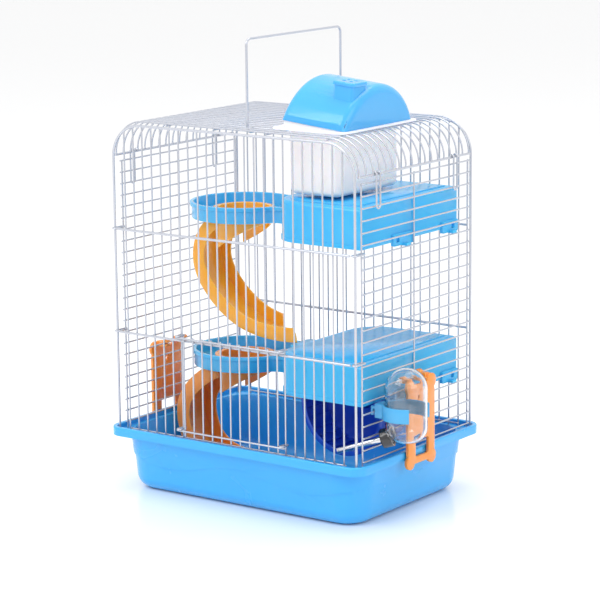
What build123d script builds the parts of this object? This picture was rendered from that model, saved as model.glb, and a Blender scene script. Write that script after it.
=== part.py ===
"""Three-storey wire hamster cage on a moulded tray.

Frame: millimetres, +Z up, origin at the centre of the tray's underside.
X runs along the wide front, the front faces -Y, and the drinking bottle hangs on the +X side.
"""
import math
import os

from build123d import *

os.makedirs("parts", exist_ok=True)

# ---------------------------------------------------------------- driving dimensions
CAGE_W = 250.0            # wire body width, between the centres of its corner wires
CAGE_D = 174.0            # wire body depth, the same way
TRAY_H = 56.0             # height of the tray's rim above the floor
LEVEL_RISE = 130.0        # lower platform to upper platform
SIDE_TOP = 287.0          # top wire of each side panel
ROOF_Z = 323.0            # centre of the roof's cross bars
PANEL_TOP = 320.0         # centre of the top wire of the front and back panels

WIRE = 1.5                # grille wire, with its coating
FRAME_WIRE = 2.2          # heavier frame and cross wire
FINE_WIRE = 1.5           # door wire and loops
HANDLE_WIRE = 2.2
WELD = 0.02               # gap between welded wires, so that each stays a solid of its own
PLAY = 0.3                # clearance between loose parts

# tray
RIM_OVERHANG = 8.0
RIM_BAND = 7.5
LIP_WALL = 4.5
TRAY_WALL = 2.2
TRAY_DRAFT = 5.0         # how far each wall leans out from the floor to the rim
TRAY_CORNER = 24.0
RIM_CORNER = 14.0
LIP_CORNER = 8.0
TRAY_HEEL = 13.0          # rounding between the floor and the walls
WAVE_STEP = 0.9           # depth of the wavy step in the wall
LEDGE_Z = TRAY_H - 4.5    # the wires stand on this ledge inside the lip

# wire body
EDGE_GAP = 12.0           # from a corner wire to the next bar
BAR_COUNT = 24            # bars between the corner wires of the front and back
SIDE_WIRES = 24
SIDE_BASE = TRAY_H + 1.0
SIDE_FRONT = -77.0        # front upright of each side panel
SIDE_BACK = 83.0
CROSS_Z = (140.0, 230.0)  # cross wires of the front and back
CORNER_BEND = 28.0

# roof
ROOF_BARS = 18
ROOF_SPAN = 82.0
ROOF_BEND = 29.0
HATCH_X = (36.0, 94.0)    # hatch in the roof that the nest box hangs through
HATCH_Y = (-65.0, 35.0)

# door
DOOR_BARS = 11
DOOR_BOTTOM = 57.0
DOOR_RAILS = (62.0, 143.0)

# platforms
BOX_X = (26.5, 121.0)
BOX_HALF_D = 73.0
BOX_TOP = 137.0           # top of the lower box platform
BOX_H = 35.0
BOX_CORNERS = (30.0, 12.0)  # plan corners on the left and on the right
DISH_R = 47.0
DISH_X = -52.0
DISH_RIM = 119.0          # top of the lower dish's rim
DISH_H = 14.0
HOLE_X = -52.0
HOLE_R = 24.3
boss_h = 6.5              # height of the rim round a dish's hole above the dish's underside
PLASTIC = 2.0             # wall of the platforms

# slides
SLIDE_W = 40.0
SLIDE_DEPTH = 14.0
SLIDE_WALL = 1.8
COLLAR_R = 24.0

# wheel
WHEEL_R = 42.5
WHEEL_X = 74.5
WHEEL_Z = 88.5
WHEEL_Y = (-34.0, 2.0)
AXLE_R = 2.5

# nest box and its roof
NEST_X = (38.0, 90.0)
NEST_Y = (-60.0, 32.0)
NEST_BOTTOM = 270.0
FLANGE_X = (27.0, 101.0)
FLANGE_Y = (-68.0, 44.0)
FLANGE_T = 1.6
DOME_X = (34.0, 98.0)
DOME_Y = -12.0
DOME_HALF_D = 50.0
DOME_H = 34.0
DOME_WALL = 1.6
LID_TILT = 5.5            # the lid sits higher on the left, on a wedge-shaped collar

# handle
HANDLE_X = 4.0
HANDLE_AXIS_Z = 319.3
HANDLE_TOP = 396.6

# latch and bottle
LATCH_Y = -8.0
LATCH_W = 44.0
LATCH_AXIS_Z = 117.0
BOTTLE_X = 150.0
BOTTLE_Y = -51.0
BOTTLE_R = 17.5
BOTTLE_BOTTOM = 72.0
BOTTLE_SHOULDER = 117.0   # centre of the domed top
SPOUT_TILT = 18.0         # how far the neck and the spout point below level
SPOUT_TURN = 22.0         # how far they turn towards the front
SPOUT_GATE_Z = 72.0       # height at which the spout passes between two side wires

# ---------------------------------------------------------------- derived places
half_w = CAGE_W / 2
half_d = CAGE_D / 2
bar_pitch = (CAGE_W - 2 * EDGE_GAP) / (BAR_COUNT - 1)
bar_x = [-half_w + EDGE_GAP + bar_pitch * i for i in range(BAR_COUNT)]
guide_bars = (bar_x[6], bar_x[17])          # the door slides on these two bars
side_pitch = (SIDE_TOP - SIDE_BASE) / (SIDE_WIRES - 1)
side_z = [SIDE_BASE + side_pitch * i for i in range(SIDE_WIRES)]
roof_pitch = 2 * ROOF_SPAN / (ROOF_BARS - 1)
roof_y = [-ROOF_SPAN + roof_pitch * i for i in range(ROOF_BARS)]
side_x = half_w + WIRE / 2 + WELD           # level wires of the side panels
upright_x = half_w - WIRE / 2               # uprights of the side panels
cross_y = half_d + WIRE / 2 + FRAME_WIRE / 2 + WELD
rail_z = ROOF_Z - ROOF_BEND - FRAME_WIRE / 2 - WELD
rail_x = half_w + 1.0


def save(piece, name):
    """Label a finished piece and write it to its own file."""
    piece.part.label = name
    export_step(piece.part, f"parts/{name}.step")


# ---------------------------------------------------------------- tray
rim_w = CAGE_W + 2 * RIM_OVERHANG
rim_d = CAGE_D + 2 * RIM_OVERHANG + 1.0
mouth_w = CAGE_W - 3.0
mouth_d = CAGE_D - 3.0
foot_w = mouth_w + 2 * TRAY_WALL - 2 * TRAY_DRAFT
foot_d = mouth_d + 2 * TRAY_WALL - 2 * TRAY_DRAFT
draft_angle = -math.degrees(math.atan2(TRAY_DRAFT, TRAY_H - RIM_BAND))


def wave_region():
    """Profile in XZ above a gentle wave that runs along the front and the back of the tray."""
    mid, swing, length = 29.5, 5.5, 142.0
    points = []
    for step in range(-8, 9):
        x = step * length / 8
        points.append((x, mid + swing * math.cos(step * math.pi / 4)))
    left, right = points[0][0], points[-1][0]
    with BuildLine() as outline:
        Spline(*points)
        Polyline(points[-1], (right, TRAY_H), (left, TRAY_H), points[0])
    return outline.line


with BuildPart() as raised_band:
    with BuildSketch(Plane.XY):
        RectangleRounded(foot_w + 2 * WAVE_STEP, foot_d + 2 * WAVE_STEP, TRAY_CORNER)
    extrude(amount=TRAY_H - RIM_BAND, taper=draft_angle)
    with BuildSketch(Plane.XZ.offset(-rim_d)) as band_profile:
        with BuildLine():
            add(wave_region())
        make_face()
    extrude(amount=2 * rim_d, mode=Mode.INTERSECT)

with BuildPart() as base_tray:
    with BuildSketch(Plane.XY):
        RectangleRounded(foot_w, foot_d, TRAY_CORNER)
    extrude(amount=TRAY_H - RIM_BAND, taper=draft_angle)
    fillet(base_tray.faces().sort_by(Axis.Z)[0].edges(), radius=TRAY_HEEL)
    add(raised_band.part)
    with BuildSketch(Plane.XY.offset(TRAY_H - RIM_BAND)):
        RectangleRounded(rim_w, rim_d, RIM_CORNER)
    extrude(amount=RIM_BAND)
    with BuildSketch(Plane.XY.offset(LEDGE_Z)):
        RectangleRounded(rim_w - 2 * LIP_WALL, rim_d - 2 * LIP_WALL, LIP_CORNER)
    extrude(amount=TRAY_H, mode=Mode.SUBTRACT)
    fillet(base_tray.faces().sort_by(Axis.Z)[-1].edges(), radius=1.2)

with BuildPart() as tray_hollow:
    with BuildSketch(Plane.XY.offset(TRAY_WALL)):
        RectangleRounded(foot_w - 2 * TRAY_WALL, foot_d - 2 * TRAY_WALL, TRAY_CORNER - 2)
    extrude(amount=TRAY_H, taper=draft_angle)
    fillet(tray_hollow.faces().sort_by(Axis.Z)[0].edges(), radius=TRAY_HEEL - TRAY_WALL)

lug_w, lug_h, lug_depth = 12.0, 4.4, 1.1
lug_z = TRAY_H - 3.0
with BuildPart() as tray:
    add(base_tray.part)
    add(tray_hollow.part, mode=Mode.SUBTRACT)
    with BuildSketch(Plane.YZ.offset(-rim_w / 2 - lug_depth)):
        with Locations((LATCH_Y, lug_z)):
            RectangleRounded(lug_w, lug_h, 1.5)
    extrude(amount=lug_depth + 1)
    with BuildSketch(Plane.YZ.offset(rim_w / 2 - 1)):
        with Locations((LATCH_Y, lug_z)):
            RectangleRounded(lug_w, lug_h, 1.5)
    extrude(amount=lug_depth + 1)
save(tray, "base_tray")


# ---------------------------------------------------------------- wire body
def frame_wires(y):
    """Outer wire of the front or the back: two uprights, a top and two bent corners."""
    reach, rise = half_w - CORNER_BEND, PANEL_TOP - CORNER_BEND
    with BuildPart() as frame:
        with BuildSketch(Plane.XY.offset(LEDGE_Z + WELD)):
            with Locations((-half_w, y), (half_w, y)):
                Circle(FRAME_WIRE / 2)
        extrude(amount=rise - LEDGE_Z - 2 * WELD)
        with BuildSketch(Plane.YZ.offset(-reach + WELD)):
            with Locations((y, PANEL_TOP)):
                Circle(FRAME_WIRE / 2)
        extrude(amount=2 * (reach - WELD))
        for side in (-1, 1):
            with BuildSketch(Plane.YZ.offset(side * reach)):
                with Locations((y, PANEL_TOP)):
                    Circle(FRAME_WIRE / 2)
            revolve(axis=Axis((side * reach, 0, rise), (0, side, 0)), revolution_arc=90)
    return frame


save(frame_wires(-half_d), "front_frame")
save(frame_wires(half_d), "back_frame")


def loop_path(x, y_near, y_far, z, radius):
    """Closed stadium round two uprights that stand at y_near and y_far."""
    with BuildLine(Plane.XY.offset(z)) as path:
        Line((x - radius, y_near), (x - radius, y_far))
        ThreePointArc((x - radius, y_far), (x, y_far + radius), (x + radius, y_far))
        Line((x + radius, y_far), (x + radius, y_near))
        ThreePointArc((x + radius, y_near), (x, y_near - radius), (x - radius, y_near))
    return path.line


def bar_top(x):
    """Height at which a bar meets the frame wire: lower under the bent corners."""
    reach = abs(x) - (half_w - CORNER_BEND)
    if reach <= 0:
        return PANEL_TOP - FRAME_WIRE / 2 - WELD
    inner = CORNER_BEND - FRAME_WIRE / 2 - WELD
    return PANEL_TOP - CORNER_BEND + math.sqrt(inner**2 - (reach + WIRE / 2) ** 2)


gate_bars = [x for x in bar_x if guide_bars[0] < x < guide_bars[1]]
sill_z = LEDGE_Z + 3.0
loop_r = FRAME_WIRE / 2 + FINE_WIRE / 2 + 0.45
loop_x = half_w - 0.35

with BuildPart() as front_panel:
    for x in bar_x:
        foot_z = LEDGE_Z + WELD
        if x in gate_bars:
            foot_z = CROSS_Z[0] - FRAME_WIRE / 2
        with BuildSketch(Plane.XY.offset(foot_z)):
            with Locations((x, -half_d)):
                Circle(WIRE / 2)
        extrude(amount=bar_top(x) - foot_z)
    with BuildSketch(Plane.YZ.offset(-half_w + loop_r + 1.4)):
        for z in CROSS_Z:
            with Locations((-cross_y, z)):
                Circle(FRAME_WIRE / 2)
    extrude(amount=CAGE_W - 2 * loop_r - 2.8)
    sill_y = -half_d + WIRE + WELD
    with BuildSketch(Plane.YZ.offset(-half_w + EDGE_GAP - 1)):
        with Locations((sill_y, sill_z)):
            Circle(WIRE / 2)
    extrude(amount=CAGE_W - 2 * EDGE_GAP + 2)
save(front_panel, "front_panel")

with BuildPart() as corner_loops:
    for x in (-loop_x, loop_x):
        for z in CROSS_Z:
            with BuildSketch(Plane(origin=(x - loop_r, -half_d, z), z_dir=(0, 1, 0))):
                Circle(FINE_WIRE / 2)
            sweep(path=loop_path(x, -half_d, SIDE_FRONT, z, loop_r))
save(corner_loops, "corner_loops")

with BuildPart() as back_panel:
    for x in bar_x:
        with BuildSketch(Plane.XY.offset(LEDGE_Z + WELD)):
            with Locations((x, half_d)):
                Circle(WIRE / 2)
        extrude(amount=bar_top(x) - LEDGE_Z - WELD)
    with BuildSketch(Plane.YZ.offset(-half_w + loop_r + 1.4)):
        for z in CROSS_Z:
            with Locations((cross_y, z)):
                Circle(FRAME_WIRE / 2)
    extrude(amount=CAGE_W - 2 * loop_r - 2.8)
    with BuildSketch(Plane.YZ.offset(-half_w + EDGE_GAP - 1)):
        with Locations((half_d - WIRE - WELD, sill_z)):
            Circle(WIRE / 2)
    extrude(amount=CAGE_W - 2 * EDGE_GAP + 2)
save(back_panel, "back_panel")


def side_panel(side):
    """Level wires outside three uprights, on the left (-1) or the right (+1)."""
    with BuildPart() as panel:
        with BuildSketch(Plane.XY.offset(LEDGE_Z + WELD)):
            for y in (SIDE_FRONT, 0.0, SIDE_BACK):
                with Locations((side * upright_x, y)):
                    Circle(WIRE / 2)
        extrude(amount=SIDE_TOP + 1 - LEDGE_Z)
        with BuildSketch(Plane.XZ.offset(-SIDE_FRONT + 1)):
            for z in side_z:
                with Locations((side * side_x, z)):
                    Circle(WIRE / 2)
        extrude(amount=-(SIDE_BACK - SIDE_FRONT + 2))
    return panel


save(side_panel(-1), "left_panel")
save(side_panel(1), "right_panel")

# ---------------------------------------------------------------- roof
straight = half_w + 1.0 - ROOF_BEND
hatch_bars = [y for y in roof_y if HATCH_Y[0] < y < HATCH_Y[1]]
full_bars = [y for y in roof_y if y not in hatch_bars]
tie_z = ROOF_Z - WIRE - WELD


bar_runs = (
    (-straight, straight, full_bars),
    (-straight, HATCH_X[0], hatch_bars),
    (HATCH_X[1], straight, hatch_bars),
)

with BuildPart() as roof_grille:
    for start, end, rows in bar_runs:
        with BuildSketch(Plane.YZ.offset(start)):
            with Locations([(y, ROOF_Z) for y in rows]):
                Circle(WIRE / 2)
        extrude(amount=end - start)
    with BuildSketch(Plane.XZ.offset(ROOF_SPAN + 1.5)):
        for side in (-1, 1):
            with Locations((side * rail_x, rail_z)):
                Circle(FRAME_WIRE / 2)
        for x in (-70.0, -20.0, HATCH_X[0] - 1.5, HATCH_X[1] + 1.5):
            with Locations((x, tie_z)):
                Circle(WIRE / 2)
    extrude(amount=-2 * (ROOF_SPAN + 1.5))
save(roof_grille, "roof_grille")


def roof_bends(side):
    """Quarter bends that carry the roof bars down to the rail on one side."""
    with BuildPart() as bends:
        with BuildSketch(Plane.YZ.offset(side * (straight + WELD))):
            with Locations([(y, ROOF_Z) for y in roof_y]):
                Circle(WIRE / 2)
        revolve(
            axis=Axis((side * (straight + WELD), 0, ROOF_Z - ROOF_BEND), (0, side, 0)),
            revolution_arc=90,
        )
    return bends


save(roof_bends(-1), "roof_bends_left")
save(roof_bends(1), "roof_bends_right")

# ---------------------------------------------------------------- door
door_y = -(cross_y + FRAME_WIRE / 2 + PLAY + FINE_WIRE / 2)
door_rail_y = door_y - FINE_WIRE - WELD
door_x = [guide_bars[0] + bar_pitch * (i + 0.5) for i in range(DOOR_BARS)]
eye_r = WIRE / 2 + PLAY + FINE_WIRE / 2
eye_lift = FINE_WIRE + WELD

with BuildPart() as front_door:
    with BuildSketch(Plane.XY.offset(DOOR_BOTTOM)):
        for x in door_x:
            with Locations((x, door_y)):
                Circle(FINE_WIRE / 2)
    extrude(amount=DOOR_RAILS[1] + 1.5 - DOOR_BOTTOM)
    with BuildSketch(Plane.YZ.offset(guide_bars[0] - 3)):
        for z in DOOR_RAILS:
            with Locations((door_rail_y, z)):
                Circle(FINE_WIRE / 2)
    extrude(amount=guide_bars[1] - guide_bars[0] + 6)
    for x in guide_bars:
        for z in DOOR_RAILS:
            with BuildSketch(Plane(origin=(x - eye_r, -half_d, z + eye_lift), z_dir=(0, 1, 0))):
                Circle(FINE_WIRE / 2)
            sweep(path=loop_path(x, door_rail_y, -half_d, z + eye_lift, eye_r))
save(front_door, "front_door")

# ---------------------------------------------------------------- carry handle
leg_y = roof_y[1] + roof_pitch / 2
with BuildPart() as carry_handle:
    with BuildLine(Plane.YZ.offset(HANDLE_X)) as bail:
        FilletPolyline(
            (leg_y + 18, HANDLE_AXIS_Z),
            (leg_y, HANDLE_AXIS_Z),
            (leg_y, HANDLE_TOP),
            (-leg_y, HANDLE_TOP),
            (-leg_y, HANDLE_AXIS_Z),
            (-leg_y - 18, HANDLE_AXIS_Z),
            radius=5.0,
        )
    with BuildSketch(Plane(origin=(HANDLE_X, leg_y + 18, HANDLE_AXIS_Z), z_dir=(0, -1, 0))):
        Circle(HANDLE_WIRE / 2)
    sweep(path=bail.line)
save(carry_handle, "carry_handle")

# ---------------------------------------------------------------- roof clips
clip_wire = 1.6
clip_hook = FRAME_WIRE / 2 + 0.2 + clip_wire / 2
clip_half = 2.75
clip_bottom = 268.0


def roof_clip(side, y):
    """Long wire clip: two hooks over the roof's rail and a narrow U that hangs outside the panel."""
    rail = side * rail_x
    outer = side * (rail_x + clip_hook)
    inner = side * (rail_x - clip_hook)
    with BuildPart() as clip:
        with BuildLine() as path:
            ThreePointArc(
                (inner, y - clip_half, rail_z),
                (rail, y - clip_half, rail_z + clip_hook),
                (outer, y - clip_half, rail_z),
            )
            Line((outer, y - clip_half, rail_z), (outer, y - clip_half, clip_bottom))
            ThreePointArc(
                (outer, y - clip_half, clip_bottom),
                (outer, y, clip_bottom - clip_half),
                (outer, y + clip_half, clip_bottom),
            )
            Line((outer, y + clip_half, clip_bottom), (outer, y + clip_half, rail_z))
            ThreePointArc(
                (outer, y + clip_half, rail_z),
                (rail, y + clip_half, rail_z + clip_hook),
                (inner, y + clip_half, rail_z),
            )
        with BuildSketch(Plane(origin=(inner, y - clip_half, rail_z), z_dir=(0, 0, 1))):
            Circle(clip_wire / 2)
        sweep(path=path.line)
    return clip


clip_y = (roof_y[2] + roof_pitch / 2, roof_y[14] + roof_pitch / 2)
save(roof_clip(-1, clip_y[0]), "roof_clip_front_left")
save(roof_clip(1, clip_y[0]), "roof_clip_front_right")
save(roof_clip(-1, clip_y[1]), "roof_clip_back_left")
save(roof_clip(1, clip_y[1]), "roof_clip_back_right")

# ---------------------------------------------------------------- tray latches
latch_t = 2.6
latch_top = 112.0
latch_foot = 44.5
knuckle_r = 3.3
knuckle_bore = WIRE / 2 + 0.25
latch_x = rim_w / 2 + lug_depth + 0.3


def tray_latch(side):
    """Eared plate that swings on a side wire and closes over the tray's rim."""
    body_h = latch_top - latch_foot
    with BuildPart() as latch:
        with BuildSketch(Plane.YZ.offset(side * latch_x)):
            with Locations((LATCH_Y, (latch_top + latch_foot) / 2)):
                RectangleRounded(LATCH_W - 4, body_h, 10)
            for hand in (-1, 1):
                with Locations((LATCH_Y + hand * (LATCH_W / 2 - 6.5), latch_top - 1)):
                    Circle(6.5)
                with Locations((LATCH_Y + hand * (LATCH_W / 2 - 6), latch_foot + 2)):
                    Circle(6)
            with Locations((LATCH_Y + 1, lug_z + 4.2)):
                RectangleRounded(20, 14, 2, mode=Mode.SUBTRACT)
            with Locations((LATCH_Y, latch_top - 12)):
                Circle(2, mode=Mode.SUBTRACT)
        extrude(amount=side * latch_t)
        for y in (LATCH_Y - 12, LATCH_Y + 12):
            with BuildSketch(Plane.XZ.offset(-y + 3)) as knuckle:
                with Locations((side * side_x, LATCH_AXIS_Z)):
                    Circle(knuckle_r)
                with Locations((side * (side_x + latch_x) / 2, LATCH_AXIS_Z - 1)):
                    Rectangle(latch_x - side_x, 2 * knuckle_r - 2)
                with Locations((side * side_x, LATCH_AXIS_Z)):
                    Circle(knuckle_bore, mode=Mode.SUBTRACT)
                with Locations((side * (side_x - 2), LATCH_AXIS_Z)):
                    Rectangle(4, 1.6, mode=Mode.SUBTRACT)
            extrude(amount=-6)
    return latch


save(tray_latch(-1), "left_latch")
save(tray_latch(1), "right_latch")


# ---------------------------------------------------------------- platforms
def box_outline(shrink):
    """Plan of a box platform: wide corners on the left, tighter ones on the right."""
    width = BOX_X[1] - BOX_X[0] - 2 * shrink
    with BuildSketch() as outline:
        with Locations(((BOX_X[0] + BOX_X[1]) / 2, 0)):
            Rectangle(width, 2 * (BOX_HALF_D - shrink))
        corners = outline.vertices().group_by(Axis.X)
        fillet(corners[0], radius=BOX_CORNERS[0] - shrink)
        fillet(corners[-1], radius=BOX_CORNERS[1] - shrink)
    return outline.sketch


def box_platform(top_z, landing):
    """Open-bottomed box that bridges the cage from front to back, with two hooks on the side wires."""
    bottom = top_z - BOX_H
    panel_rise, skirt, skirt_h = 0.8, 0.7, 3.5
    tab_reach, tab_h, slot = 2.0, 10.0, 5.0
    wire_top = bottom - 5.0 + WIRE / 2 + 0.1
    with BuildPart() as box:
        with BuildSketch(Plane.XY.offset(bottom)):
            add(box_outline(skirt))
        extrude(amount=BOX_H - panel_rise)
        fillet(box.faces().sort_by(Axis.Z)[-1].edges(), radius=3.5)
        with BuildSketch(Plane.XY.offset(top_z - panel_rise - 1)):
            add(box_outline(8.0))
        extrude(amount=panel_rise + 1)
        with BuildSketch(Plane.XY.offset(bottom)):
            add(box_outline(0))
        extrude(amount=skirt_h)
        if landing:
            with BuildSketch(Plane.XY.offset(top_z - 5.6)):
                with Locations((BOX_X[0] - 3, -14)):
                    RectangleRounded(16, 30, 4)
            extrude(amount=2.2)
        with BuildSketch(Plane.XY.offset(bottom)):
            add(box_outline(PLASTIC + skirt))
        extrude(amount=BOX_H - PLASTIC - panel_rise, mode=Mode.SUBTRACT)
        with BuildSketch(Plane.XY.offset(bottom)):
            with Locations((BOX_X[1] - skirt, 3)):
                Rectangle(1.2, 1.6)
        extrude(amount=BOX_H, mode=Mode.SUBTRACT)
        for y, tab_w, slot_y in ((-13.0, 30.0, -22.0), (58.0, 24.0, 62.0)):
            with BuildSketch(Plane.YZ.offset(BOX_X[1] - 1)):
                with Locations((y, bottom + 1.5)):
                    RectangleRounded(tab_w, tab_h, 1.5)
                with Locations((slot_y, bottom + 2)):
                    Rectangle(slot, slot, mode=Mode.SUBTRACT)
            extrude(amount=1 + tab_reach)
            with BuildSketch(Plane.XY.offset(wire_top)):
                with Locations((BOX_X[1] + 3.5, y + 1)):
                    Rectangle(5, 6)
            extrude(amount=2.2)
    return box


def dish_outline(shrink):
    """Round dish with a neck that runs to the box platform, its back edge straight."""
    neck_y, back_y, reach = -18.0, 44.5, BOX_X[0] - WELD
    with BuildSketch() as outline:
        with Locations((DISH_X, 0)):
            Circle(DISH_R - shrink)
        with Locations(((reach + DISH_X) / 2, (neck_y + back_y) / 2)):
            Rectangle(reach - DISH_X, back_y - neck_y - 2 * shrink)
        notch = outline.vertices().filter_by(lambda v: abs(v.X + 9) < 4 and v.Y < 0)
        fillet(notch, radius=12)
    return outline.sketch


def dish_platform(rim_z):
    """Dish with a lipped rim and a round hole for the mouth of a chute."""
    under = rim_z - DISH_H
    lip_out, lip_h, floor_rise = 1.5, 3.5, 2.0
    with BuildPart() as dish:
        with BuildSketch(Plane.XY.offset(under)):
            add(dish_outline(lip_out))
        extrude(amount=DISH_H)
        with BuildSketch(Plane.XY.offset(rim_z - lip_h)):
            add(dish_outline(0))
        extrude(amount=lip_h)
        with BuildSketch(Plane.XY.offset(under + floor_rise + PLASTIC)):
            add(dish_outline(lip_out + PLASTIC))
        extrude(amount=DISH_H, mode=Mode.SUBTRACT)
        with BuildSketch(Plane.XY.offset(under)):
            add(dish_outline(lip_out + PLASTIC))
        extrude(amount=floor_rise, mode=Mode.SUBTRACT)
        with BuildSketch(Plane.XY.offset(under)):
            with Locations((HOLE_X, 0)):
                Circle(HOLE_R + PLASTIC)
        extrude(amount=boss_h)
        with BuildSketch(Plane.XY.offset(under)):
            with Locations((HOLE_X, 0)):
                Circle(HOLE_R)
        extrude(amount=DISH_H, mode=Mode.SUBTRACT)
    return dish


save(box_platform(BOX_TOP, True), "lower_box_platform")
save(box_platform(BOX_TOP + LEVEL_RISE, False), "upper_box_platform")
save(dish_platform(DISH_RIM), "lower_dish_platform")
save(dish_platform(DISH_RIM + LEVEL_RISE), "upper_dish_platform")


# ---------------------------------------------------------------- slides
def slide(boss_top, floor_line, slant):
    """Chute that hangs in a dish by its collar; floor_line is its underside in XZ, top first."""
    (x0, z0), (x1, z1) = floor_line[0], floor_line[1]
    run = math.hypot(x1 - x0, z1 - z0)
    along = ((x1 - x0) / run, 0, (z1 - z0) / run)
    inward = (-along[2], 0, along[0])
    reach = SLIDE_DEPTH + 1.5
    drop = 40.0
    left, right = HOLE_X - COLLAR_R - 3, HOLE_X + COLLAR_R + 3
    with BuildPart() as collar:
        with BuildSketch(Plane.XY.offset(boss_top - drop)):
            with Locations((HOLE_X, 0)):
                Circle(COLLAR_R)
        extrude(amount=drop)
        with BuildSketch(Plane.XZ.offset(-COLLAR_R - 1)):
            Polygon(
                (left, boss_top - drop - 1),
                (right, boss_top - drop - 1),
                (right, boss_top - 9),
                (left, boss_top - 41),
                align=None,
            )
        extrude(amount=2 * COLLAR_R + 2, mode=Mode.SUBTRACT)
        with BuildSketch(Plane.XY.offset(boss_top)):
            with Locations((HOLE_X, 0)):
                Circle(COLLAR_R + 3.2)
        extrude(amount=SLIDE_WALL)
    with BuildPart() as chute:
        with BuildLine(Plane.XZ) as floor_path:
            Spline(*floor_line)
        with BuildSketch(Plane(origin=(x0, 0, z0), x_dir=inward, z_dir=along)):
            with Locations((SLIDE_DEPTH / 2, 0)):
                Rectangle(SLIDE_DEPTH, SLIDE_W)
        sweep(path=floor_path.line)
        add(collar.part)
        with BuildSketch(Plane.XY.offset(boss_top - drop - 1)):
            with Locations((HOLE_X, 0)):
                Circle(COLLAR_R - SLIDE_WALL)
        extrude(amount=drop + 5, mode=Mode.SUBTRACT)
        with BuildSketch(Plane(origin=(x0, 0, z0), x_dir=inward, z_dir=along)):
            with Locations((SLIDE_WALL + reach / 2, 0)):
                Rectangle(reach, SLIDE_W - 2 * SLIDE_WALL)
        sweep(path=floor_path.line, mode=Mode.SUBTRACT)
        with BuildSketch(Plane.XY.offset(boss_top - drop)):
            with Locations((HOLE_X - COLLAR_R + 6, 0)):
                Rectangle(16, SLIDE_W - 2 * SLIDE_WALL)
        extrude(amount=z0 - 3 - boss_top + drop, mode=Mode.SUBTRACT)
        end_x, end_z = floor_line[-1]
        with BuildSketch(Plane.XY.offset(end_z - 6)):
            Polygon(
                (end_x + 6, -SLIDE_W / 2 - 1),
                (end_x - 1, -SLIDE_W / 2 - 1),
                (end_x - slant, SLIDE_W / 2 + 1),
                (end_x + 6, SLIDE_W / 2 + 1),
                align=None,
            )
        extrude(amount=SLIDE_DEPTH + 12, mode=Mode.SUBTRACT)
    return chute


lower_boss = DISH_RIM - DISH_H + boss_h
upper_boss = lower_boss + LEVEL_RISE
upper_line = (
    (-74.5, 234.3),
    (-93.0, 207.0),
    (-92.5, 189.0),
    (-82.5, 170.0),
    (-66.0, 153.5),
    (-45.0, 141.0),
    (-22.0, 134.8),
    (20.0, 134.2),
)
lower_line = (
    (-74.5, 104.3),
    (-101.0, 86.0),
    (-113.5, 66.0),
    (-113.5, 44.0),
    (-104.0, 24.0),
    (-86.0, 11.0),
    (-66.0, 6.5),
    (-36.0, 5.5),
)
save(slide(upper_boss, upper_line, 46.0), "upper_slide")
save(slide(lower_boss, lower_line, 6.0), "lower_slide")

# ---------------------------------------------------------------- running wheel
wheel_front, wheel_back = WHEEL_Y
disc_t = 2.0
drum_wall = 1.8
hub_r = 8.0
rung_count = 30
bracket_y = wheel_back + 5.0
bracket_t = 3.0
ceiling_z = BOX_TOP - PLASTIC - 0.8

with BuildPart() as wheel_drum:
    with BuildSketch(Plane.XZ.offset(-wheel_back)):
        with Locations((WHEEL_X, WHEEL_Z)):
            Circle(WHEEL_R)
    extrude(amount=wheel_back - wheel_front)
    with BuildSketch(Plane.XZ.offset(-wheel_front + 1)):
        with Locations((WHEEL_X, WHEEL_Z)):
            Circle(WHEEL_R - 4.5)
    extrude(amount=-(wheel_back - wheel_front - disc_t + 1), mode=Mode.SUBTRACT)
    with BuildSketch(Plane.XZ.offset(-wheel_front - 2)):
        with Locations((WHEEL_X, WHEEL_Z)):
            Circle(WHEEL_R - drum_wall)
            with PolarLocations(WHEEL_R - drum_wall - 0.6, rung_count):
                Rectangle(3.2, 2.0, mode=Mode.SUBTRACT)
    extrude(amount=-(wheel_back - wheel_front - disc_t - 2), mode=Mode.SUBTRACT)
    with BuildSketch(Plane.XZ.offset(-wheel_back)):
        with Locations((WHEEL_X, WHEEL_Z)):
            Circle(hub_r)
    extrude(amount=12)
    with BuildSketch(Plane.XZ.offset(-wheel_back - 1)):
        with Locations((WHEEL_X, WHEEL_Z)):
            Circle(AXLE_R + PLAY)
    extrude(amount=20, mode=Mode.SUBTRACT)
save(wheel_drum, "wheel_drum")

hub_front = wheel_back - 12.0
with BuildPart() as wheel_axle:
    with BuildSketch(Plane.XZ.offset(-bracket_y - bracket_t - 1.5)):
        with Locations((WHEEL_X, WHEEL_Z)):
            Circle(AXLE_R)
    extrude(amount=bracket_y + bracket_t + 1.5 - hub_front + 1.0)
save(wheel_axle, "wheel_axle")

with BuildPart() as wheel_hub_cap:
    with BuildSketch(Plane.XZ.offset(-hub_front + 0.5)):
        with Locations((WHEEL_X, WHEEL_Z)):
            Circle(6.0)
    extrude(amount=3.5)
    fillet(wheel_hub_cap.faces().sort_by(Axis.Y)[0].edges(), radius=1.5)
    with BuildSketch(Plane.XZ.offset(-hub_front + 0.4)):
        with Locations((WHEEL_X, WHEEL_Z)):
            Circle(AXLE_R)
    extrude(amount=0.6, mode=Mode.SUBTRACT)
save(wheel_hub_cap, "wheel_hub_cap")

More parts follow.
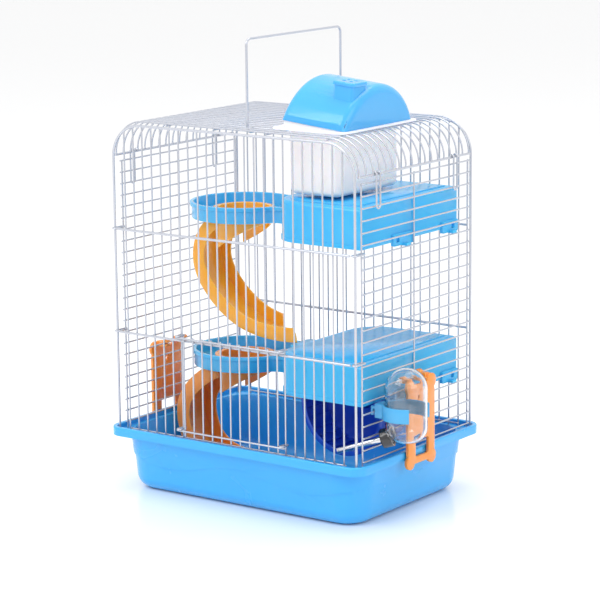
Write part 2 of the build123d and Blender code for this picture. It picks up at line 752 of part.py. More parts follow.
with BuildPart() as wheel_bracket:
    with BuildSketch(Plane.XZ.offset(-bracket_y - bracket_t)):
        with BuildLine():
            Polyline(
                (WHEEL_X - 7, WHEEL_Z),
                (WHEEL_X - 16, ceiling_z),
                (WHEEL_X + 16, ceiling_z),
                (WHEEL_X + 7, WHEEL_Z),
                (WHEEL_X - 7, WHEEL_Z),
            )
        make_face()
        with Locations((WHEEL_X, WHEEL_Z)):
            Circle(7)
        with Locations((WHEEL_X, WHEEL_Z)):
            Circle(AXLE_R + 0.01, mode=Mode.SUBTRACT)
    extrude(amount=bracket_t)
    with BuildSketch(Plane.XY.offset(ceiling_z)):
        with Locations((WHEEL_X, bracket_y + bracket_t + 4)):
            RectangleRounded(32, 14, 3)
    extrude(amount=-2.5)
save(wheel_bracket, "wheel_bracket")

# ---------------------------------------------------------------- nest box and its roof
roof_top = ROOF_Z + WIRE / 2
flange_top = roof_top + FLANGE_T
nest_mid = ((NEST_X[0] + NEST_X[1]) / 2, (NEST_Y[0] + NEST_Y[1]) / 2)
nest_w, nest_d = NEST_X[1] - NEST_X[0], NEST_Y[1] - NEST_Y[0]
flange_mid = ((FLANGE_X[0] + FLANGE_X[1]) / 2, (FLANGE_Y[0] + FLANGE_Y[1]) / 2)
nest_wall = 1.6
door_arch_r = 14.0

with BuildPart() as nest_box:
    with BuildSketch(Plane.XY.offset(NEST_BOTTOM)):
        with Locations(nest_mid):
            RectangleRounded(nest_w, nest_d, 9)
    extrude(amount=flange_top - NEST_BOTTOM)
    fillet(nest_box.faces().sort_by(Axis.Z)[0].edges(), radius=5)
    with BuildSketch(Plane.XY.offset(roof_top)):
        with Locations(flange_mid):
            RectangleRounded(FLANGE_X[1] - FLANGE_X[0], FLANGE_Y[1] - FLANGE_Y[0], 7)
    extrude(amount=FLANGE_T)
    with BuildSketch(Plane.XY.offset(NEST_BOTTOM + nest_wall)):
        with Locations(nest_mid):
            RectangleRounded(nest_w - 2 * nest_wall, nest_d - 2 * nest_wall, 9 - nest_wall)
    extrude(amount=flange_top, mode=Mode.SUBTRACT)
    with BuildSketch(Plane.YZ.offset(NEST_X[0] - 1)):
        with Locations((nest_mid[1], NEST_BOTTOM + 8 + door_arch_r)):
            Circle(door_arch_r)
        with Locations((nest_mid[1], NEST_BOTTOM + 8 + door_arch_r / 2)):
            Rectangle(2 * door_arch_r, door_arch_r)
    extrude(amount=nest_wall + 3, mode=Mode.SUBTRACT)
    wedge_rise = (DOME_X[1] - DOME_X[0]) * math.tan(math.radians(LID_TILT))
    collar_w, collar_d = DOME_X[1] - DOME_X[0] - 1.6, 2 * DOME_HALF_D - 1.6
    collar_at = ((DOME_X[0] + DOME_X[1]) / 2, DOME_Y)
    with BuildSketch(Plane.XY.offset(roof_top + 0.5)):
        with Locations(collar_at):
            RectangleRounded(collar_w, collar_d, 4)
            RectangleRounded(collar_w - 3.2, collar_d - 3.2, 3, mode=Mode.SUBTRACT)
    extrude(amount=wedge_rise + FLANGE_T)
    with BuildSketch(Plane.XZ.offset(-DOME_HALF_D - 20)):
        Polygon(
            (DOME_X[1], flange_top),
            (DOME_X[0] - 2, flange_top + wedge_rise * (1 + 2 / (DOME_X[1] - DOME_X[0]))),
            (DOME_X[0] - 2, flange_top + 40),
            (DOME_X[1] + 10, flange_top + 40),
            (DOME_X[1] + 10, flange_top),
            align=None,
        )
    extrude(amount=2 * DOME_HALF_D + 60, mode=Mode.SUBTRACT)
save(nest_box, "nest_box")

dome_base = flange_top
skirt_z = 5.0
with BuildPart() as nest_roof:
    with BuildSketch(Plane.YZ.offset(DOME_X[0])):
        with BuildLine():
            Line((DOME_Y - DOME_HALF_D, dome_base), (DOME_Y + DOME_HALF_D, dome_base))
            Line((DOME_Y + DOME_HALF_D, dome_base), (DOME_Y + DOME_HALF_D, dome_base + skirt_z))
            ThreePointArc(
                (DOME_Y + DOME_HALF_D, dome_base + skirt_z),
                (DOME_Y, dome_base + DOME_H),
                (DOME_Y - DOME_HALF_D, dome_base + skirt_z),
            )
            Line((DOME_Y - DOME_HALF_D, dome_base + skirt_z), (DOME_Y - DOME_HALF_D, dome_base))
        make_face()
    extrude(amount=DOME_X[1] - DOME_X[0])
    upper_edges = nest_roof.edges().filter_by(GeomType.CIRCLE)
    fillet(upper_edges, radius=7)
    near, far = DOME_Y - DOME_HALF_D + DOME_WALL, DOME_Y + DOME_HALF_D - DOME_WALL
    floor_z, spring_z = dome_base - 1, dome_base + skirt_z - 1.5
    with BuildSketch(Plane.YZ.offset(DOME_X[0] + DOME_WALL)):
        with BuildLine():
            Line((near, floor_z), (far, floor_z))
            Line((far, floor_z), (far, spring_z))
            ThreePointArc((far, spring_z), (DOME_Y, dome_base + DOME_H - 5), (near, spring_z))
            Line((near, spring_z), (near, floor_z))
        make_face()
    extrude(amount=DOME_X[1] - DOME_X[0] - 2 * DOME_WALL, mode=Mode.SUBTRACT)

vent_at = (83.0, -37.0)
vent_size = 20.0
vent_foot = dome_base + 12.0
vent_top = dome_base + 37.5
vent_seat = vent_top - 3.0
with BuildPart() as roof_with_vent:
    add(nest_roof.part)
    with BuildSketch(Plane.XY.offset(vent_foot)):
        with Locations(vent_at):
            RectangleRounded(vent_size, vent_size, 3)
    extrude(amount=vent_seat - vent_foot)
    with BuildSketch(Plane.XY.offset(vent_foot - 2)):
        with Locations(vent_at):
            RectangleRounded(vent_size - 4, vent_size - 4, 2)
    extrude(amount=vent_seat - dome_base, mode=Mode.SUBTRACT)
lid_hinge = Axis((DOME_X[1], 0, dome_base), (0, 1, 0))
with BuildPart() as tilted_roof:
    add(roof_with_vent.part.rotate(lid_hinge, LID_TILT))
save(tilted_roof, "nest_roof")

with BuildPart() as vent_cap:
    with BuildSketch(Plane.XY.offset(vent_seat)):
        with Locations(vent_at):
            RectangleRounded(vent_size + 2, vent_size + 2, 3.5)
    extrude(amount=3.0)
    fillet(vent_cap.faces().sort_by(Axis.Z)[-1].edges(), radius=1.2)
    with BuildSketch(Plane.XY.offset(vent_seat - 1)):
        with Locations(vent_at):
            with GridLocations(7, 7, 2, 2):
                Circle(1.6)
    extrude(amount=6, mode=Mode.SUBTRACT)
with BuildPart() as tilted_cap:
    add(vent_cap.part.rotate(lid_hinge, LID_TILT))
save(tilted_cap, "vent_cap")

# ---------------------------------------------------------------- bottle
tilt = math.radians(SPOUT_TILT)
turn = math.radians(SPOUT_TURN)
aim = (-math.cos(tilt) * math.cos(turn), -math.cos(tilt) * math.sin(turn), -math.sin(tilt))
across = (math.sin(turn), -math.cos(turn), 0)
glass_t = 1.4
cap_r = 8.3
tube_r = 2.6
gate_x = side_x
gate_y = BOTTLE_Y - (BOTTLE_X - gate_x) * math.tan(turn)
tube_run = 42.0


def on_spout(distance):
    """Point on the spout's axis, measured from where it crosses the side wires."""
    start = (gate_x, gate_y, SPOUT_GATE_Z)
    return tuple(place + distance * way for place, way in zip(start, aim))


def spout_plane(distance):
    """Sketch plane across the spout, facing its tip."""
    return Plane(origin=on_spout(distance), x_dir=across, z_dir=aim)


cap_front = -6.2
cap_len = 9.0
neck_front = cap_front - 2.0
neck_r = 6.4

cap_back = cap_front - cap_len

with BuildPart() as bottle_hollow:
    with BuildSketch(Plane.XY.offset(BOTTLE_BOTTOM + glass_t)):
        with Locations((BOTTLE_X, BOTTLE_Y)):
            Circle(BOTTLE_R - glass_t)
    extrude(amount=BOTTLE_SHOULDER - BOTTLE_BOTTOM - glass_t)
    fillet(bottle_hollow.faces().sort_by(Axis.Z)[0].edges(), radius=13 - glass_t)
    with Locations((BOTTLE_X, BOTTLE_Y, BOTTLE_SHOULDER)):
        Sphere(BOTTLE_R - glass_t)
    with BuildSketch(spout_plane(cap_back - PLAY - glass_t)):
        Circle(cap_r + PLAY + glass_t)
    extrude(amount=3 * cap_len, mode=Mode.SUBTRACT)
    with BuildSketch(spout_plane(cap_back - 6)):
        Circle(neck_r - glass_t)
    extrude(amount=cap_len + 6)

with BuildPart() as bottle:
    with BuildSketch(Plane.XY.offset(BOTTLE_BOTTOM)):
        with Locations((BOTTLE_X, BOTTLE_Y)):
            Circle(BOTTLE_R)
    extrude(amount=BOTTLE_SHOULDER - BOTTLE_BOTTOM)
    fillet(bottle.faces().sort_by(Axis.Z)[0].edges(), radius=13)
    with Locations((BOTTLE_X, BOTTLE_Y, BOTTLE_SHOULDER)):
        Sphere(BOTTLE_R)
    with BuildSketch(spout_plane(cap_back - PLAY)):
        Circle(cap_r + PLAY)
    extrude(amount=3 * cap_len, mode=Mode.SUBTRACT)
    with BuildSketch(spout_plane(cap_back - 3)):
        Circle(neck_r)
    extrude(amount=neck_front - cap_back + 3)
    add(bottle_hollow.part, mode=Mode.SUBTRACT)
save(bottle, "bottle")

with BuildPart() as bottle_cap:
    with BuildSketch(spout_plane(cap_front - cap_len)):
        Circle(cap_r)
    extrude(amount=cap_len)
    fillet(bottle_cap.faces().sort_by(Axis.X)[0].edges(), radius=1.2)
    with BuildSketch(spout_plane(cap_front - cap_len - 1)):
        Circle(neck_r + 0.25)
    extrude(amount=cap_len - 0.8, mode=Mode.SUBTRACT)
    with BuildSketch(spout_plane(cap_front - 3)):
        Circle(tube_r + 0.01)
    extrude(amount=6, mode=Mode.SUBTRACT)
save(bottle_cap, "bottle_cap")

with BuildPart() as spout_tube:
    with BuildSketch(spout_plane(cap_front - 1.8)):
        Circle(tube_r)
        Circle(tube_r - 0.6, mode=Mode.SUBTRACT)
    extrude(amount=tube_run - 1.2)
    with BuildSketch(spout_plane(tube_run + cap_front - 3)):
        Circle(tube_r)
        Circle(1.6, mode=Mode.SUBTRACT)
    extrude(amount=0.5)
save(spout_tube, "spout_tube")

ball_r = 1.9
with BuildPart() as spout_ball:
    with Locations(on_spout(tube_run + cap_front - 3 - 1.15)):
        Sphere(ball_r)
save(spout_ball, "spout_ball")

# ---------------------------------------------------------------- bottle clip
clip_r = BOTTLE_R + PLAY
clip_t = 2.2
clip_z = (92.0, 104.0)
mouth_deg = 50.0
hook_y = (BOTTLE_Y - 9, BOTTLE_Y + 9)

with BuildPart() as bottle_clip:
    with BuildSketch(Plane.XY.offset(clip_z[0])):
        with Locations((BOTTLE_X, BOTTLE_Y)):
            Circle(clip_r + clip_t)
        with Locations(((BOTTLE_X + side_x + 1.1) / 2, BOTTLE_Y)):
            Rectangle(BOTTLE_X - side_x - 1.1, 24)
        with Locations((BOTTLE_X, BOTTLE_Y)):
            Circle(clip_r, mode=Mode.SUBTRACT)
        with BuildLine():
            Polyline(
                (BOTTLE_X, BOTTLE_Y),
                (BOTTLE_X + 40, BOTTLE_Y - 40 * math.tan(math.radians(mouth_deg))),
                (BOTTLE_X + 40, BOTTLE_Y + 40 * math.tan(math.radians(mouth_deg))),
                (BOTTLE_X, BOTTLE_Y),
            )
        make_face(mode=Mode.SUBTRACT)
    extrude(amount=clip_z[1] - clip_z[0])
    for y in hook_y:
        with BuildSketch(Plane.XZ.offset(-y - 1.5)):
            with Locations((side_x - 0.6, clip_z[0] + 8.3)):
                Rectangle(6.0, 2.4)
            with Locations((side_x - 2.7, clip_z[0] + 5.5)):
                Rectangle(1.8, 8)
        extrude(amount=3)
save(bottle_clip, "bottle_clip")
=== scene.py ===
import math

import bmesh
import bpy
from mathutils import Matrix, Vector


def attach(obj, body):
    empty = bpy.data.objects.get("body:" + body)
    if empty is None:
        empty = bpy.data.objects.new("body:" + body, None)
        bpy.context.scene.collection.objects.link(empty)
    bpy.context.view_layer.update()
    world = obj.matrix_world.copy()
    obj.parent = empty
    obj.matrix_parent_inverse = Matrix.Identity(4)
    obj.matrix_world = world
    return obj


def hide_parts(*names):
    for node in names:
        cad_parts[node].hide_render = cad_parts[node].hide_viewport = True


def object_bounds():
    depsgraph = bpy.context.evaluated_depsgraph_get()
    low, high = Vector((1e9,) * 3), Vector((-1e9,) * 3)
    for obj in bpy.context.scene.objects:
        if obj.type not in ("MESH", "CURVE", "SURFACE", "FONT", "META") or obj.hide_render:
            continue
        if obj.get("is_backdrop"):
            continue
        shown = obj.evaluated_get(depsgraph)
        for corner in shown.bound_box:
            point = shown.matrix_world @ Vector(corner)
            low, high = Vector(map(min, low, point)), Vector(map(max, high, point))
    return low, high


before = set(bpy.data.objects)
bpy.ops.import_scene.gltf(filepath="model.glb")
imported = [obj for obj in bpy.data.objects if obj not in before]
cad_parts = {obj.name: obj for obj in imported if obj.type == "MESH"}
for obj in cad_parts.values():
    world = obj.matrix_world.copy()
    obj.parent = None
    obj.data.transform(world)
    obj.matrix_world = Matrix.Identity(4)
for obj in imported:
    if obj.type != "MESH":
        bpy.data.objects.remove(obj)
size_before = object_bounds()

MM = 0.001  # the lists of points below are in millimetres

# ---------------------------------------------------------------- dimensions in mm
WIRE_R = 0.75  # bars, side wires, roof wires, door wires and loops
FRAME_R = 1.1  # frame wires, cross wires, roof rails and handle
CLIP_R = 0.8
GAP = 0.02  # between wires that lie on each other

CAGE_W, CAGE_D = 250.0, 174.0
HALF_W, HALF_D = CAGE_W / 2, CAGE_D / 2
LEDGE = 51.52  # where the wires stand in the tray
SILL_Z = LEDGE + 3
SILL_END = HALF_W - 11

BAR_SPAN, BAR_GAPS = 226.0, 23
BAR_PITCH = BAR_SPAN / BAR_GAPS
BARS = [-BAR_SPAN / 2 + BAR_SPAN / BAR_GAPS * i for i in range(BAR_GAPS + 1)]
GUIDE = (BARS[6], BARS[17])  # the door slides on these two

CROSS_Z = (140.0, 230.0)
CROSS_Y = HALF_D + WIRE_R + FRAME_R + GAP
CROSS_END = HALF_W - 3.7
PANEL_TOP, PANEL_BEND = 320.0, 28.0

SIDE_X = HALF_W + WIRE_R + GAP
SIDE_FRONT, SIDE_BACK = -77.0, 83.0
UPRIGHT_X, UPRIGHT_TOP = 124.25, 288.0
UPRIGHT_Y = (SIDE_FRONT, 0.0, SIDE_BACK)
SIDE_Z = [57.0 + 10.0 * i for i in range(24)]
LOOP_X, LOOP_R = HALF_W - 0.35, 2.3

ROOF_Z, ROOF_BEND = 323.0, 29.0
ROOF_SPAN, ROOF_GAPS, ROOF_END = 82.0, 17, 83.5
ROOF_Y = [-ROOF_SPAN + 2 * ROOF_SPAN / ROOF_GAPS * i for i in range(ROOF_GAPS + 1)]
ROOF_STRAIGHT = HALF_W + 1.0 - ROOF_BEND
HATCH_X, HATCH_Y = (36.0, 94.0), (-65.0, 35.0)
RAIL_X, RAIL_Z = 126.0, 292.88
TIES = (-70.0, -20.0, 34.5, 95.5)

DOOR_Y = -(CROSS_Y + FRAME_R + 0.3 + WIRE_R)
DOOR_RAIL_Y = DOOR_Y - 2 * WIRE_R - GAP
DOOR_Z = (57.0, 144.5)
DOOR_RAIL_Z = (62.0, 143.0)
DOOR_BARS = 11
EYE_R, EYE_LIFT = 1.8, 2 * WIRE_R + GAP

HANDLE_X, HANDLE_LEG, HANDLE_BEND, HANDLE_HOOK = 4.0, 67.53, 5.0, 18.0
HANDLE_AXIS_Z, HANDLE_TOP = 319.3, 396.6

CLIP_Y, CLIP_HALF, CLIP_FOOT_Z = 57.88, 2.75, 268.0
CLIP_HOOK = FRAME_R + 0.2 + CLIP_R

# ---------------------------------------------------------------- materials
PLASTIC_IOR = 1.49
FLOW_SCALE = 38  # cloudy flow marks about 25 mm across
SCRATCH_SCALE = 1600


def noise(nodes, links, coords, scale, detail, distortion=0.0):
    """Noise in the object's own metres."""
    texture = nodes.new("ShaderNodeTexNoise")
    texture.inputs["Scale"].default_value = scale
    texture.inputs["Detail"].default_value = detail
    texture.inputs["Distortion"].default_value = distortion
    links.new(coords.outputs["Object"], texture.inputs["Vector"])
    return texture


def bump(nodes, links, height, strength, distance):
    """Surface relief from a texture; distance is in metres."""
    relief = nodes.new("ShaderNodeBump")
    relief.inputs["Strength"].default_value = strength
    relief.inputs["Distance"].default_value = distance
    links.new(height.outputs["Fac"], relief.inputs["Height"])
    return relief


def plastic(
    name, colour, rough, trans=0.0, sss=0.0, grain=900.0, relief=0.06, deep=None, coat=0.0, metallic=0.0
):
    """Moulded plastic or coating: fine grain in real scale, faint flow marks and a little wear."""
    material = bpy.data.materials.new(name)
    material.use_nodes = True
    nodes, links = material.node_tree.nodes, material.node_tree.links
    shader = nodes["Principled BSDF"]
    shader.inputs["Metallic"].default_value = metallic
    shader.inputs["IOR"].default_value = PLASTIC_IOR
    shader.inputs["Transmission Weight"].default_value = trans
    shader.inputs["Subsurface Weight"].default_value = sss
    shader.inputs["Subsurface Radius"].default_value = (0.004, 0.006, 0.01)
    shader.inputs["Subsurface Scale"].default_value = 0.6
    shader.inputs["Coat Weight"].default_value = coat
    coords = nodes.new("ShaderNodeTexCoord")
    flow = noise(nodes, links, coords, FLOW_SCALE, 4, 0.6)
    fine = bump(nodes, links, noise(nodes, links, coords, grain, 3), relief, 0.00012)
    waves = bump(nodes, links, flow, 0.08, 0.0006)
    links.new(fine.outputs["Normal"], waves.inputs["Normal"])
    links.new(waves.outputs["Normal"], shader.inputs["Normal"])
    wear = nodes.new("ShaderNodeMapRange")
    wear.inputs["From Min"].default_value = 0.3
    wear.inputs["From Max"].default_value = 0.7
    wear.inputs["To Min"].default_value = rough * 0.85
    wear.inputs["To Max"].default_value = min(1.0, rough * 1.2 + 0.02)
    links.new(flow.outputs["Fac"], wear.inputs["Value"])
    links.new(wear.outputs["Result"], shader.inputs["Roughness"])
    tint = nodes.new("ShaderNodeMix")
    tint.data_type = "RGBA"
    factor = next(s for s in tint.inputs if s.identifier == "Factor_Float")
    first = next(s for s in tint.inputs if s.identifier == "A_Color")
    second = next(s for s in tint.inputs if s.identifier == "B_Color")
    mixed = next(s for s in tint.outputs if s.identifier == "Result_Color")
    first.default_value = (*colour, 1)
    second.default_value = (*(deep or [c * 0.93 for c in colour]), 1)
    links.new(flow.outputs["Fac"], factor)
    links.new(mixed, shader.inputs["Base Color"])
    return material


def metal(name, colour, rough):
    """Drawn steel with fine scratches."""
    material = bpy.data.materials.new(name)
    material.use_nodes = True
    nodes, links = material.node_tree.nodes, material.node_tree.links
    shader = nodes["Principled BSDF"]
    shader.inputs["Base Color"].default_value = (*colour, 1)
    shader.inputs["Metallic"].default_value = 1.0
    shader.inputs["Roughness"].default_value = rough
    coords = nodes.new("ShaderNodeTexCoord")
    scratches = bump(nodes, links, noise(nodes, links, coords, SCRATCH_SCALE, 2), 0.1, 0.0001)
    links.new(scratches.outputs["Normal"], shader.inputs["Normal"])
    return material


SKY = plastic("sky_blue", (0.04, 0.43, 0.90), 0.22, sss=0.15, coat=0.25)
DOME = plastic("dome_blue", (0.055, 0.42, 0.86), 0.2, sss=0.15, coat=0.3)
AZURE = plastic("azure", (0.05, 0.48, 0.92), 0.2, trans=0.1, sss=0.3, deep=(0.07, 0.54, 0.94))
CYAN = plastic("cyan", (0.06, 0.52, 0.92), 0.14, trans=0.2, sss=0.25, coat=0.3)
AMBER = plastic("amber", (1.0, 0.40, 0.02), 0.16, trans=0.12, sss=0.5, deep=(1.0, 0.47, 0.04), coat=0.3)
ORANGE = plastic("orange", (1.0, 0.34, 0.06), 0.2, trans=0.06, sss=0.5, coat=0.2)
ROYAL = plastic("royal", (0.03, 0.15, 0.84), 0.12, trans=0.3, sss=0.3, coat=0.3)
FROST = plastic("frost", (0.88, 0.88, 0.98), 0.3, sss=0.6)
CLEAR = plastic("clear", (0.985, 0.99, 1.0), 0.03, trans=1.0, relief=0.02)
CLIP_BLUE = plastic("clip_blue", (0.08, 0.47, 0.86), 0.18, trans=0.15, coat=0.3)
BLACK = plastic("cap_black", (0.012, 0.012, 0.015), 0.14, coat=0.8)
WIRE = plastic("coated_wire", (0.56, 0.58, 0.64), 0.2, grain=700.0, relief=0.1, coat=0.5, metallic=0.55)
STEEL = metal("steel", (0.72, 0.72, 0.74), 0.22)

# ---------------------------------------------------------------- builders
ARRIS_ANGLE = math.radians(28)
WELD_REACH = 0.00002


def soften(node, material, width):
    """Shows a CAD node with a finish, rounded arrises and smooth shading; width is in mm."""
    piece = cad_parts[node]
    piece.data.materials.clear()
    piece.data.materials.append(material)
    for face in piece.data.polygons:
        face.use_smooth = True
    weld = piece.modifiers.new("weld", "WELD")
    weld.merge_threshold = WELD_REACH
    if width > 0:
        arris = piece.modifiers.new("arris", "BEVEL")
        arris.width = width * MM
        arris.segments = 2
        arris.limit_method = "ANGLE"
        arris.angle_limit = ARRIS_ANGLE
        arris.use_clamp_overlap = True
        arris.harden_normals = True


def rounded_ends(points, radius):
    """Points and their relative radii, drawn in at both ends of a wire."""
    first, last = points[0], points[-1]
    ahead = (points[1] - first).normalized()
    behind = (points[-2] - last).normalized()
    steps = ((0.0, 0.35), (0.2, 0.75), (0.6, 0.95), (1.0, 1.0))
    head = [(first + ahead * radius * step, size) for step, size in steps]
    tail = [(last + behind * radius * step, size) for step, size in reversed(steps)]
    return head + [(point, 1.0) for point in points[1:-1]] + tail


def tube(name, runs, radius, body, nodes=(), cyclic=False, resolution=4):
    """Round wires as one piece: each run is a list of points in mm."""
    curve = bpy.data.curves.new(name, "CURVE")
    curve.dimensions = "3D"
    curve.bevel_depth = radius * MM
    curve.bevel_resolution = resolution
    curve.use_fill_caps = True
    for run in runs:
        points = [Vector(point) for point in run]
        sized = [(point, 1.0) for point in points] if cyclic else rounded_ends(points, radius)
        spline = curve.splines.new("POLY")
        spline.points.add(len(sized) - 1)
        for knot, (point, size) in zip(spline.points, sized):
            knot.co = (*(point * MM), 1)
            knot.radius = size
        spline.use_cyclic_u = cyclic
        spline.use_smooth = True
    piece = bpy.data.objects.new(name, curve)
    bpy.context.scene.collection.objects.link(piece)
    curve.materials.append(WIRE)
    if nodes:
        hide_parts(*nodes)
    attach(piece, body)


def beads(name, places, body):
    """Small flattened beads of coating where wires cross: each has a centre and three half sizes."""
    grid = bmesh.new()
    for centre, half_sizes in places:
        at = Matrix.Translation(Vector(centre) * MM)
        size = Matrix.Diagonal((*(Vector(half_sizes) * MM), 1))
        bmesh.ops.create_icosphere(grid, subdivisions=2, radius=1.0, matrix=at @ size)
    mesh = bpy.data.meshes.new(name)
    grid.to_mesh(mesh)
    grid.free()
    for face in mesh.polygons:
        face.use_smooth = True
    piece = bpy.data.objects.new(name, mesh)
    bpy.context.scene.collection.objects.link(piece)
    mesh.materials.append(WIRE)
    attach(piece, body)


def arc(u, v, radius, start, end, steps):
    """Points of an arc in a plane, as pairs; the angles are in degrees."""
    angles = [math.radians(start + (end - start) * i / steps) for i in range(steps + 1)]
    return [(u + radius * math.cos(a), v + radius * math.sin(a)) for a in angles]


def stadium(x, y_front, y_back, z, radius):
    """Level closed loop round two upright wires."""
    far = arc(x, y_back, radius, 0, 180, 12)
    near = arc(x, y_front, radius, 180, 360, 12)
    return [(u, v, z) for u, v in far + near]


# ---------------------------------------------------------------- wire body
def frame_run(y):
    """Outer wire of the front or the back: two uprights, two bent corners and a top."""
    reach, rise = HALF_W - PANEL_BEND, PANEL_TOP - PANEL_BEND
    left = arc(-reach, rise, PANEL_BEND, 180, 90, 12)
    right = arc(reach, rise, PANEL_BEND, 90, 0, 12)
    bent = [(x, y, z) for x, z in left + right]
    return [(-HALF_W, y, LEDGE), *bent, (HALF_W, y, LEDGE)]


def bar_top(x):
    """Height at which a bar runs into the frame wire."""
    sunk = 0.7
    reach = abs(x) - (HALF_W - PANEL_BEND)
    if reach <= 0:
        return PANEL_TOP - sunk
    return PANEL_TOP - PANEL_BEND + math.sqrt((PANEL_BEND - sunk) ** 2 - reach**2)


def end_panel(side, label):
    """Front (-1) or back (+1): bars, sill, frame wire, cross wires and their beads."""
    y = side * HALF_D
    gated = [x for x in BARS if side < 0 and GUIDE[0] < x < GUIDE[1]]
    bars = [[(x, y, CROSS_Z[0] - FRAME_R if x in gated else LEDGE), (x, y, bar_top(x))] for x in BARS]
    sill_y = y - side * (2 * WIRE_R + GAP)
    sill = [(-SILL_END, sill_y, SILL_Z), (SILL_END, sill_y, SILL_Z)]
    crosses = [[(-CROSS_END, side * CROSS_Y, z), (CROSS_END, side * CROSS_Y, z)] for z in CROSS_Z]
    tube(f"{label}_bars", [*bars, sill], WIRE_R, "cage", [f"{label}_panel"])
    tube(f"{label}_frame_wire", [frame_run(y)], FRAME_R, "cage", [f"{label}_frame"])
    tube(f"{label}_cross", crosses, FRAME_R, "cage")
    spots = []
    for x in BARS:
        spots += [((x, side * (HALF_D + 0.8), z), (0.95, 0.7, 1.25)) for z in CROSS_Z]
        if x not in gated:
            spots.append(((x, y - side * (WIRE_R + GAP / 2), SILL_Z), (0.9, 0.6, 0.9)))
        spots.append(((x, y, bar_top(x) - 0.3), (1.0, 0.9, 0.8)))
    beads(f"{label}_welds", spots, "cage")


def side_grille(side, label):
    """Left (-1) or right (+1): level wires on three uprights."""
    x = side * UPRIGHT_X
    uprights = [[(x, y, LEDGE), (x, y, UPRIGHT_TOP)] for y in UPRIGHT_Y]
    rows = [[(side * SIDE_X, SIDE_FRONT - 1, z), (side * SIDE_X, SIDE_BACK + 1, z)] for z in SIDE_Z]
    tube(f"{label}_grille", uprights + rows, WIRE_R, "cage", [f"{label}_panel"])
    spots = [((side * HALF_W, y, z), (0.6, 0.9, 0.9)) for y in UPRIGHT_Y for z in SIDE_Z]
    beads(f"{label}_welds", spots, "cage")


def roof():
    """Arched roof wires with a hatch, on ties and two side rails."""
    runs, spots = [], []
    for y in ROOF_Y:
        bent = arc(-ROOF_STRAIGHT, ROOF_Z - ROOF_BEND, ROOF_BEND, 180, 90, 12)
        left = [(x, y, z) for x, z in bent]
        right = [(-x, y, z) for x, z in reversed(bent)]
        if HATCH_Y[0] < y < HATCH_Y[1]:
            runs.append([*left, (HATCH_X[0], y, ROOF_Z)])
            runs.append([(HATCH_X[1], y, ROOF_Z), *right])
        else:
            runs.append(left + right)
        spots += [((x, y, ROOF_Z - WIRE_R - GAP / 2), (0.9, 0.9, 0.6)) for x in TIES]
        spots += [((x, y, ROOF_Z - ROOF_BEND + 0.1), (0.95, 0.95, 0.8)) for x in (-RAIL_X, RAIL_X)]
    tie_z = ROOF_Z - 2 * WIRE_R - GAP
    ties = [[(x, -ROOF_END, tie_z), (x, ROOF_END, tie_z)] for x in TIES]
    rails = [[(x, -ROOF_END, RAIL_Z), (x, ROOF_END, RAIL_Z)] for x in (-RAIL_X, RAIL_X)]
    tube("roof_bars", runs, WIRE_R, "cage", ["roof_grille", "roof_bends_left", "roof_bends_right"])
    tube("roof_ties", ties, WIRE_R, "cage")
    tube("roof_rails", rails, FRAME_R, "cage")
    beads("roof_welds", spots, "cage")


def door():
    """Sliding door: bars on two rails, with an eye at each corner round a guide bar."""
    places = [GUIDE[0] + BAR_PITCH * (i + 0.5) for i in range(DOOR_BARS)]
    bars = [[(x, DOOR_Y, DOOR_Z[0]), (x, DOOR_Y, DOOR_Z[1])] for x in places]
    rails = [[(GUIDE[0] - 3, DOOR_RAIL_Y, z), (GUIDE[1] + 3, DOOR_RAIL_Y, z)] for z in DOOR_RAIL_Z]
    eyes = [stadium(x, DOOR_RAIL_Y, -HALF_D, z + EYE_LIFT, EYE_R) for x in GUIDE for z in DOOR_RAIL_Z]
    middle = (DOOR_Y + DOOR_RAIL_Y) / 2
    spots = [((x, middle, z), (0.85, 0.6, 0.85)) for x in places for z in DOOR_RAIL_Z]
    tube("door_bars", bars + rails, WIRE_R, "door", ["front_door"])
    tube("door_eyes", eyes, WIRE_R, "door", cyclic=True)
    beads("door_welds", spots, "door")


def handle():
    """Wire bail whose hooked feet lie along the axis it folds about."""
    side, low, high = HANDLE_LEG - HANDLE_BEND, HANDLE_AXIS_Z + HANDLE_BEND, HANDLE_TOP - HANDLE_BEND
    bends = arc(-side, low, HANDLE_BEND, 270, 180, 6)
    bends += arc(-side, high, HANDLE_BEND, 180, 90, 6)
    bends += arc(side, high, HANDLE_BEND, 90, 0, 6)
    bends += arc(side, low, HANDLE_BEND, 0, -90, 6)
    foot = HANDLE_LEG - HANDLE_HOOK
    outline = [(-foot, HANDLE_AXIS_Z), *bends, (foot, HANDLE_AXIS_Z)]
    run = [(HANDLE_X, y, z) for y, z in outline]
    tube("handle_wire", [run], FRAME_R, "handle", ["carry_handle"], resolution=6)


def roof_clip(front_or_back, y, left_or_right, side):
    """Long wire clip: two hooks over the roof rail and a rounded foot."""
    hook_near = arc(0, RAIL_Z, CLIP_HOOK, 180, 0, 12)
    foot = arc(y, CLIP_FOOT_Z, CLIP_HALF, 180, 360, 12)
    run = [(side * (RAIL_X + u), y - CLIP_HALF, z) for u, z in hook_near]
    run += [(side * (RAIL_X + CLIP_HOOK), v, z) for v, z in foot]
    run += [(side * (RAIL_X + u), y + CLIP_HALF, z) for u, z in reversed(hook_near)]
    name = f"{front_or_back}_{left_or_right}"
    tube(f"clip_{name}_wire", [run], CLIP_R, f"clip_{name}", [f"roof_clip_{name}"])


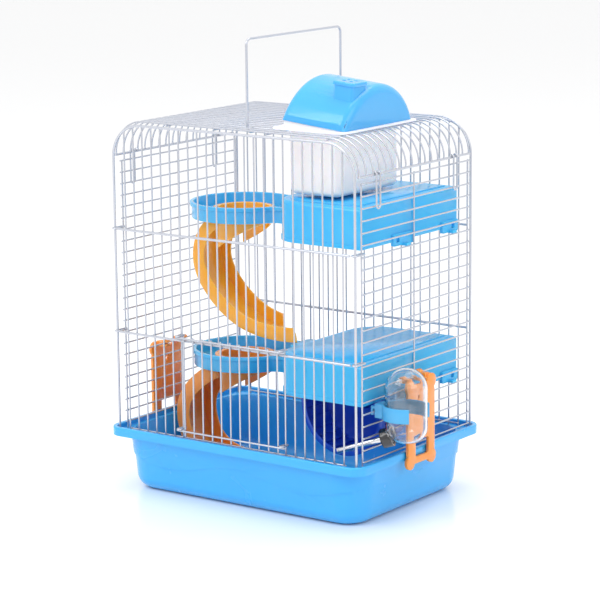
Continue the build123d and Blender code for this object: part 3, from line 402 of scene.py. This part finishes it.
end_panel(-1, "front")
end_panel(1, "back")
tube(
    "front_loops",
    [stadium(x, -HALF_D, SIDE_FRONT, z, LOOP_R) for x in (-LOOP_X, LOOP_X) for z in CROSS_Z],
    WIRE_R,
    "cage",
    ["corner_loops"],
    cyclic=True,
)
side_grille(-1, "left")
side_grille(1, "right")
roof()
door()
handle()
for front_or_back, y in (("front", -CLIP_Y), ("back", CLIP_Y)):
    roof_clip(front_or_back, y, "left", -1)
    roof_clip(front_or_back, y, "right", 1)

# ---------------------------------------------------------------- moulded pieces and fittings
FINISHES = {
    "base_tray": (SKY, 0.6),
    "lower_box_platform": (AZURE, 0.5),
    "upper_box_platform": (AZURE, 0.5),
    "lower_dish_platform": (CYAN, 0.5),
    "upper_dish_platform": (CYAN, 0.5),
    "upper_slide": (AMBER, 0.4),
    "lower_slide": (ORANGE, 0.4),
    "left_latch": (ORANGE, 0.5),
    "right_latch": (ORANGE, 0.5),
    "wheel_drum": (ROYAL, 0.3),
    "wheel_hub_cap": (ROYAL, 0.0),
    "wheel_bracket": (ROYAL, 0.4),
    "wheel_axle": (STEEL, 0.2),
    "nest_box": (FROST, 0.3),
    "nest_roof": (DOME, 0.5),
    "vent_cap": (DOME, 0.3),
    "bottle": (CLEAR, 0.0),
    "bottle_cap": (BLACK, 0.3),
    "bottle_clip": (CLIP_BLUE, 0.4),
    "spout_tube": (STEEL, 0.1),
    "spout_ball": (STEEL, 0.0),
}
for node, (material, width) in FINISHES.items():
    soften(node, material, width)


# ---------------------------------------------------------------- floor, light, camera in metres
def floor():
    """Plain pale floor, wide enough to have no edge in view."""
    reach = 20.0
    grid = bmesh.new()
    corners = ((-reach, -reach), (reach, -reach), (reach, reach), (-reach, reach))
    grid.faces.new([grid.verts.new((x, y, 0.0)) for x, y in corners])
    mesh = bpy.data.meshes.new("floor")
    grid.to_mesh(mesh)
    grid.free()
    material = bpy.data.materials.new("floor_white")
    material.use_nodes = True
    shader = material.node_tree.nodes["Principled BSDF"]
    shader.inputs["Base Color"].default_value = (0.96, 0.962, 0.97, 1)
    shader.inputs["Roughness"].default_value = 0.16
    shader.inputs["Specular IOR Level"].default_value = 0.45
    mesh.materials.append(material)
    piece = bpy.data.objects.new("floor", mesh)
    bpy.context.scene.collection.objects.link(piece)
    return piece


def softbox(name, at, target, size, watts):
    """Square area light aimed at a point."""
    light = bpy.data.lights.new(name, "AREA")
    light.shape = "RECTANGLE"
    light.size = size
    light.size_y = size
    light.energy = watts
    lamp = bpy.data.objects.new(name, light)
    lamp.location = at
    lamp.rotation_euler = (Vector(target) - Vector(at)).to_track_quat("-Z", "Y").to_euler()
    bpy.context.scene.collection.objects.link(lamp)


def camera(at, azimuth, elevation, roll, lens):
    """Camera that looks level with the turntable angles given in degrees."""
    az, el, turn = (math.radians(angle) for angle in (azimuth, elevation, roll))
    back = Vector((math.sin(az) * math.cos(el), -math.cos(az) * math.cos(el), math.sin(el)))
    right = Vector((math.cos(az), math.sin(az), 0))
    up = back.cross(right)
    level = math.cos(turn) * right + math.sin(turn) * up
    upright = -math.sin(turn) * right + math.cos(turn) * up
    data = bpy.data.cameras.new("cam")
    data.lens = lens
    data.sensor_width = 36
    data.clip_end = 30
    piece = bpy.data.objects.new("cam", data)
    piece.matrix_world = Matrix.Translation(at) @ Matrix((level, upright, back)).transposed().to_4x4()
    bpy.context.scene.collection.objects.link(piece)
    return piece


floor()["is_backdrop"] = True

world = bpy.data.worlds.new("studio")
world.use_nodes = True
background = world.node_tree.nodes["Background"]
background.inputs["Color"].default_value = (1, 1, 1, 1)
background.inputs["Strength"].default_value = 0.95
bpy.context.scene.world = world
bpy.context.scene.view_settings.view_transform = "Standard"

softbox("key", (-0.6, -1.8, 1.9), (0, 0, 0.15), 1.6, 26)
softbox("fill", (2.0, -0.4, 1.2), (0, 0, 0.15), 1.4, 8)
softbox("top", (0.2, 0.5, 2.2), (0, 0, 0.2), 1.8, 18)
bpy.context.scene.camera = camera((1.264, -1.7364, 0.5967), 35.9, 11.34, -0.58, 152.5)

({
        "before": [list(v) if hasattr(v, "__len__") else v for v in size_before],
        "after": [list(v) if hasattr(v, "__len__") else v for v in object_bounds()],
    })
